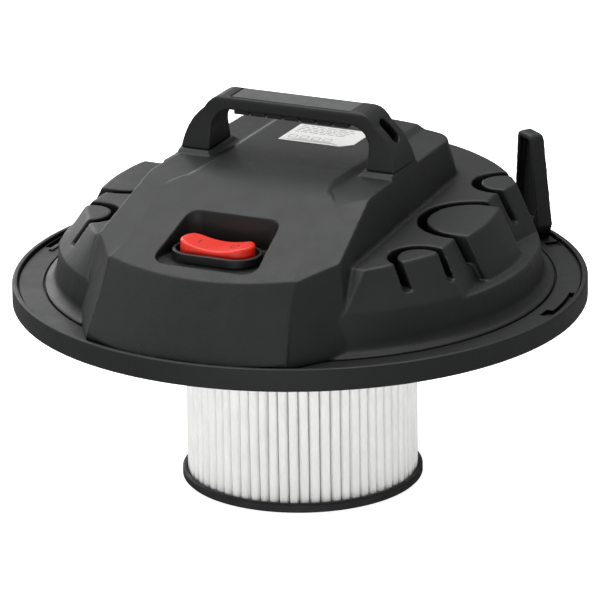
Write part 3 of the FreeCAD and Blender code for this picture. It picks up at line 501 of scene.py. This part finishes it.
def dress_cad_nodes():
    """Every CAD node that stays visible gets its slot's material."""
    special = {"base_plate": "rim_black", "handle_finger_grip": "rubber_black"}
    for name, node in NODES.items():
        dress(node, special.get(name, slot_of(name)))


# ---------------------------------------------------------------- stage, light, camera

AZIMUTH, ELEVATION, ROLL = math.radians(25.5), math.radians(19.0), math.radians(0.88)
DISTANCE, LENS_MM, SENSOR_MM = 4.0, 363.7, 36.0
AIM_LEFT, AIM_DROP = 0.22 * MM, 17.7 * MM
FLOOR_RADIUS = 25.0
FLOOR_DROP = 0.2 * MM
WORLD_LIGHT, WORLD_IN_VIEW = 0.22, 1.0


def lit_paper():
    """White paper, lit evenly by itself, that mirrors darkly in the plastic and is clear from below."""
    shader = Shader("floor_paper", (0.85, 0.85, 0.85), 0.95, specular=0.0)
    shader.principled.inputs["Emission Color"].default_value = (1, 1, 1, 1)
    shader.principled.inputs["Emission Strength"].default_value = 0.92
    dim = shader.node("ShaderNodeBsdfDiffuse")
    dim.inputs["Color"].default_value = (0.22, 0.22, 0.22, 1)
    path, mix = shader.node("ShaderNodeLightPath"), shader.node("ShaderNodeMixShader")
    shader.join(path.outputs["Is Glossy Ray"], mix, 0)
    shader.join(shader.principled.outputs["BSDF"], mix, 1)
    shader.join(dim.outputs["BSDF"], mix, 2)
    side, clear = shader.node("ShaderNodeNewGeometry"), shader.node("ShaderNodeBsdfTransparent")
    either = shader.node("ShaderNodeMixShader")
    shader.join(side.outputs["Backfacing"], either, 0)
    shader.join(mix.outputs["Shader"], either, 1)
    shader.join(clear.outputs["BSDF"], either, 2)
    shader.join(either.outputs["Shader"], shader.tree.nodes["Material Output"], "Surface")
    return shader.material


def make_stage():
    """A wide round floor that follows the filter down; beyond it the world is just as white."""
    mesh = bpy.data.meshes.new("floor")
    corners = [(FLOOR_RADIUS * math.cos(a), FLOOR_RADIUS * math.sin(a), -FLOOR_DROP)
               for a in np.linspace(0, 2 * math.pi, 48, endpoint=False)]
    mesh.from_pydata(corners, [], [list(range(len(corners)))])
    floor = link("floor", mesh)
    floor.data.materials.append(lit_paper())
    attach(floor, body_of("filter_bottom_cap"))


def add_area_light(name, place, target, size, power):
    """A rectangular lamp of so many watts that faces its target."""
    light = bpy.data.lights.new(name, "AREA")
    light.shape = "RECTANGLE"
    light.size, light.size_y = size
    light.energy = power
    lamp = bpy.data.objects.new(name, light)
    lamp.location = place
    lamp.rotation_euler = (Vector(target) - Vector(place)).to_track_quat("-Z", "Y").to_euler()
    bpy.context.scene.collection.objects.link(lamp)


def make_lights():
    """A broad lamp above, two on the left, a low strip in front, and a dim world that is white in view."""
    middle = (0, 0, RIM_TOP)
    add_area_light("overhead", (-0.3, 0.25, 2.2), middle, (2.6, 2.6), 46)
    add_area_light("left_soft", (-1.7, -0.7, 1.9), middle, (1.4, 1.4), 10)
    add_area_light("back_left", (-1.12, 0.86, 0.55), middle, (0.9, 0.9), 6)
    add_area_light("front_low", (0.6, -2.2, 0.09), (0, 0, 0.06), (2.2, 0.15), 7.5)
    world = bpy.data.worlds.new("studio")
    world.use_nodes = True
    tree = world.node_tree
    tree.nodes["Background"].inputs["Color"].default_value = (1, 1, 1, 1)
    strength, path = tree.nodes.new("ShaderNodeMapRange"), tree.nodes.new("ShaderNodeLightPath")
    strength.inputs["To Min"].default_value = WORLD_LIGHT
    strength.inputs["To Max"].default_value = WORLD_IN_VIEW
    tree.links.new(path.outputs["Is Camera Ray"], strength.inputs["Value"])
    tree.links.new(strength.outputs["Result"], tree.nodes["Background"].inputs["Strength"])
    bpy.context.scene.world = world


def make_camera():
    """A long lens aimed a little below the middle of the rim's top, rolled by under a degree."""
    data = bpy.data.cameras.new("camera")
    data.lens, data.sensor_width = LENS_MM, SENSOR_MM
    camera = bpy.data.objects.new("camera", data)
    back = Vector((math.sin(AZIMUTH) * math.cos(ELEVATION), -math.cos(AZIMUTH) * math.cos(ELEVATION),
                   math.sin(ELEVATION)))
    right = Vector((math.cos(AZIMUTH), math.sin(AZIMUTH), 0))
    aim = Vector((0, 0, RIM_TOP)) - right * AIM_LEFT - right.cross(-back) * AIM_DROP
    camera.location = aim + back * DISTANCE
    roll = Matrix.Rotation(-ROLL, 3, "Z").to_quaternion()
    camera.rotation_euler = ((-back).to_track_quat("-Z", "Y") @ roll).to_euler()
    bpy.context.scene.collection.objects.link(camera)
    bpy.context.scene.camera = camera


def main():
    """Build the scene."""
    bpy.context.scene.view_settings.view_transform = "Standard"
    make_camera()
    make_lights()
    make_stage()
    dress_cad_nodes()
    rocker = make_mouldings()
    make_pleats()
    make_switch_marks(rocker)
    make_label_marks()


main()
